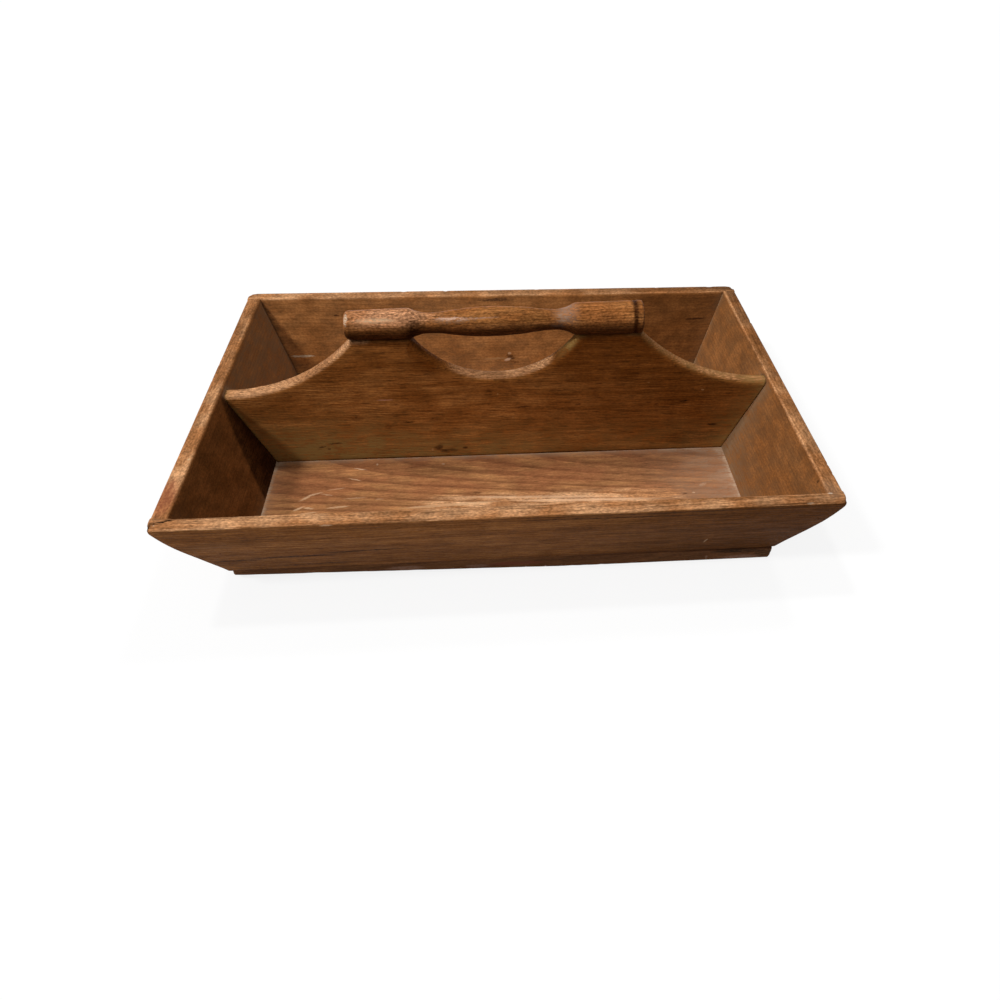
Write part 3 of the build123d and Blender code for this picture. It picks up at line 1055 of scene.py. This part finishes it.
# On the divider's front
divider_marks = marks_on(-half_divider, 3, True, (
    # Open pores
    ("#2c1405", 0.85, -71, 45, 7, 0.9, 0),
    ("#3a1c08", 0.6, -51, 47, 5, 0.8, 2),
    ("#2a1306", 0.85, -127, 27, 7, 0.9, 3),
    ("#33190a", 0.7, -137, 24, 5, 0.8, 16),
    ("#33190a", 0.7, -132, 22, 1.6, 1.1, 0),
    # Knots by the foot
    ("#2f160a", 0.8, -50, 20, 4.6, 3.4, 30),
    ("#2f160a", 0.7, -47, 17, 5.4, 1.9, -20),
    ("#3a2010", 0.6, -41, 17, 8, 2.0, 0),
    ("#1d0b04", 0.85, -30, 19, 2.6, 1.3, 0),
    ("#b8906a", 0.6, -55, 18, 0.9, 1.6, 0),
    # Small knot higher up
    ("#4d2c10", 0.45, -108, 50, 6.5, 2.8, 0),
    ("#2a1306", 0.6, -108, 51, 1.3, 0.9, 0),
    # Painted highlight on a small bruise
    ("#c08a74", 0.65, -86, 65.5, 7, 0.8, 0),
    # Stain below it, and more pores to the right
    ("#552d10", 0.45, -86, 41, 3.4, 3.4, 0),
    ("#33170a", 0.7, 15, 56, 7, 0.8, 5),
    ("#33170a", 0.7, 56, 57, 2.8, 0.8, 0),
    ("#33170a", 0.7, 116, 55, 2.4, 0.9, 0),
    ("#1c0a04", 0.85, 137, 57, 4.6, 1.0, 3),
    ("#140804", 0.9, 162, 34, 5.2, 1.4, 0),
    # Shade low at the right
    ("#2a1508", 0.35, 148, 22, 34, 9, 0),
    # Pale nicks
    ("#a87c50", 0.55, 7, 46, 1.2, 0.8, 0),
    ("#a87c50", 0.55, -4, 68, 0.8, 1.3, 0),
    ("#b88e62", 0.6, 150, 67, 1.6, 0.9, 0),
    ("#9a7048", 0.45, 108, 75, 1.1, 0.8, 0),
    ("#9a7048", 0.45, 87, 24, 1.1, 0.8, 0),
    # Gap under the foot
    ("#100804", 0.85, 42, 11, 30, 1.3, 0),
))

# On the handle
handle_marks = [
    # Painted highlights along the left neck
    ("#d8b098", 0.7, (-30, -5, 131), (19, 4, 1.4), 2),
    ("#d8b098", 0.45, (-12, -5, 132), (17, 4, 1.1), 2),
    ("#b89478", 0.25, (-26, -5, 130), (26, 5, 3), 3),
    # Painted highlights round its left end and along its left barrel
    ("#dcc4a8", 0.7, (-105, -5, 131), (1.8, 6, 5), 0),
    ("#dcb890", 0.6, (-85, -6, 131), (21, 4, 2.2), 1),
    ("#dcb48c", 0.35, (-82, -6, 128), (24, 4, 3), 1),
    # Scuffed at the right shoulder
    ("#9c8068", 0.45, (42, -5, 130), (6, 5, 4), 0),
    ("#5a4a40", 0.35, (40, -9, 125), (8, 5, 4), 0),
    # Painted shade in the left neck
    ("#1d0b04", 0.7, (-62, -9, 122), (8, 6, 5), 0),
]

# Each wood's figure: its rings and dashes in millimetres, and how much each of its features shows
front_figure = {
    "ring_width": 2.6, "first_ring": 0, "ring_share": 0.22, "sway": 9.0, "streak_share": 0.6, "fibre": 0.15,
    "speck": 0.2, "band": 0.1, "blotch": 0.08, "dash": 9, "dash_share": 0.4, "check_share": 0.4,
    "relief": 0.7, "unbroken": 0.65, "upright": True,
}
plain_figure = front_figure | {
    "streak_share": 0.25, "fibre": 0.05, "speck": 0.24, "band": 0.03, "blotch": 0.19, "dash_share": 0.14,
    "check_share": 0.05, "relief": 0.25,
}
base_figure = front_figure | {
    "ring_width": 4.65, "first_ring": 2.65, "ring_share": 0.65, "sway": 1.6, "fibre": 0.18, "speck": 0.14,
    "band": 0.07, "dash": 7, "dash_share": 0.2, "check_share": 0.15, "unbroken": 0.55, "upright": False,
}
divider_figure = front_figure | {
    "ring_width": 1.5, "ring_share": 0.35, "sway": 5.0, "streak_share": 0.5, "fibre": 0.2, "band": 0.08,
    "blotch": 0.1, "dash_share": 0.5, "check_share": 0.2, "relief": 0.6,
}
handle_figure = front_figure | {
    "ring_width": 1.8, "ring_share": 0.3, "sway": 4.0, "fibre": 0.26, "speck": 0.4, "band": 0.08,
    "blotch": 0.12, "dash": 4, "check_share": 0.2, "unbroken": 0.1,
}

front_pine = waxed_wood("aged_waxed_pine_front", side_tones, front_figure, side_marks, 0.5, 0.015)
side_pine = waxed_wood("aged_waxed_pine_sides", side_tones, plain_figure, side_marks, 0.5, 0.015)
base_pine = waxed_wood("aged_waxed_pine_base", base_tones, base_figure, base_marks, 0.5, 0.03)
divider_pine = waxed_wood("aged_waxed_pine_divider", divider_tones, divider_figure, divider_marks, 0.5, 0.02)
handle_beech = waxed_wood(
    "hand_polished_beech_handle", handle_tones, handle_figure, handle_marks, 0.42, 0.015
)
nail_iron = rusted_iron("rusted_cut_nail_iron")
peg_ash = whittled_ash("whittled_ash_pegs")

# Each side was cut from its own place in the log, which is given along, up and out from the heart.
side_board(
    "front_board", facing=(0, -1), seed=1, nicks=16, rim_round=lambda u: 1.5,
    rim_wear_and_edge_light=lambda u, arris: 0.95 - 0.4 * near(max(0, 200 - u), 330),
    log_place=lambda u, v, w: (u, v + 70, w + 34 + u * u * 6e-5),
    inside=front_inside, material=front_pine,
)
side_board(
    "rear_board", facing=(0, 1), seed=2, nicks=6, rim_round=lambda u: 1.6 + 1.6 * near(max(0, 170 - u), 260),
    # The paler inner arris is a painted highlight.
    rim_wear_and_edge_light=lambda u, arris: (
        (0.5 + 0.3 * arris) * (1 + 0.4 * near(max(0, u + 130), 90) - 0.3 * near(200 - u, 150))
    ),
    log_place=lambda u, v, w: (u + 900, v - 95, w + 40 - u * 0.02),
    inside=rear_inside, material=side_pine,
)
side_board(
    "left_end_board", facing=(-1, 0), seed=3, nicks=3, rim_round=lambda u: 1.5,
    # The less worn inner arris is painted shade.
    rim_wear_and_edge_light=lambda u, arris: (0.58 + 0.16 * near(max(0, u + 80), 90)) * (1 - 0.35 * arris),
    log_place=lambda u, v, w: (u + 1700, v + 88, w - 30 + u * 0.03),
    inside=left_inside, material=side_pine,
)
side_board(
    "right_end_board", facing=(1, 0), seed=4, nicks=3, rim_round=lambda u: 1.2,
    # The paler inner arris is a painted highlight.
    rim_wear_and_edge_light=lambda u, arris: 0.5 - 0.15 * near(max(0, 60 - u), 120) + 0.35 * arris,
    log_place=lambda u, v, w: (u + 2500, v - 52, w + 24 - u * u * 9e-5),
    inside=right_inside, material=side_pine,
)
base_board(base_pine)
divider(divider_pine)
handle(handle_beech)

# The pegs and nails inside the joints keep their CAD shapes.
for node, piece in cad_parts.items():
    if node.endswith(("pegs", "nails")):
        piece.data.materials.clear()
        piece.data.materials.append(peg_ash if node.endswith("pegs") else nail_iron)


# The studio


def seen_by_camera(tree):
    """1 for what the camera sees straight or in a gloss or glass, and 0 for light on other things."""
    seen = add(tree, "LightPath", give="Is Camera Ray")
    for ray in ("Is Glossy Ray", "Is Transmission Ray"):
        seen = add(tree, "Math", {0: seen, 1: add(tree, "LightPath", give=ray)}, operation="MAXIMUM")
    return seen


def studio_floor():
    """A plain white table top that keeps a faint shadow."""
    half = 4.0
    mesh = bpy.data.meshes.new("studio_floor")
    corners = [(-half, -half, 0), (half, -half, 0), (half, half, 0), (-half, half, 0)]
    mesh.from_pydata(corners, [], [(0, 1, 2, 3)])
    material, tree = bare_material("studio_white_paper")
    paper = add(tree, "BsdfDiffuse", {"Color": rgb("#f4f4f4")})
    white = add(tree, "Emission", {"Color": rgb("#ffffff"), "Strength": 1.0})
    share = product(tree, seen_by_camera(tree), 0.85)
    surface = add(tree, "MixShader", {0: share, 1: paper, 2: white})
    add(tree, "OutputMaterial", {"Surface": surface})
    mesh.materials.append(material)
    floor = put_in_scene("studio_floor", mesh)


def studio_light():
    """A soft key from the upper left, two weaker lamps above, and a wide sky, brightest by the key."""
    lamps = (
        ("key", (-0.58, -0.28, 0.76), 1.6, 6),
        ("rear_lamp", (0.33, 0.42, 0.84), 0.7, 8),
        ("top_lamp", (-0.28, 0.14, 0.95), 0.95, 5),
    )
    for name, towards, strength, spread in lamps:
        light = bpy.data.lights.new(name, "SUN")
        light.energy = strength
        light.angle = radians(spread)
        way = Vector(towards).normalized().to_track_quat("Z", "Y")
        put_in_scene(name, light).rotation_euler = way.to_euler()
    world = bpy.data.worlds.new("studio")
    world.use_nodes = True
    tree = world.node_tree
    tree.nodes.clear()
    way = add(tree, "TexCoord", give="Generated")
    brightest = Vector((-0.50, -0.30, 0.81)).normalized()
    facing = add(tree, "VectorMath", {0: way, 1: brightest}, give="Value", operation="DOT_PRODUCT")
    sky = eased(tree, facing, (0, 1), (0.05, 0.6))
    strength = add(tree, "Mix", {0: seen_by_camera(tree), 2: sky, 3: 1.0}, data_type="FLOAT")
    surface = add(tree, "Background", {"Color": rgb("#ffffff"), "Strength": strength})
    add(tree, "OutputWorld", {"Surface": surface})
    bpy.context.scene.world = world


def photographer():
    """The camera, where the photograph was taken from."""
    lens = bpy.data.cameras.new("camera")
    lens.lens = 28.97
    lens.sensor_width = 36.0
    lens.shift_x = -0.0632
    lens.shift_y = -0.0396
    right = Vector((0.99550, -0.09018, 0.02892))
    up = Vector((0.03464, 0.63098, 0.77502))
    back = Vector((-0.08814, -0.77053, 0.63127))
    stand = Vector((-9.756, -497.120, 405.202)) * MM
    camera = put_in_scene("camera", lens)
    camera.matrix_world = Matrix((right, up, back)).transposed().to_4x4()
    camera.matrix_world.translation = stand
    bpy.context.scene.camera = camera


studio_floor()
studio_light()
photographer()
bpy.context.scene.view_settings.view_transform = "Standard"
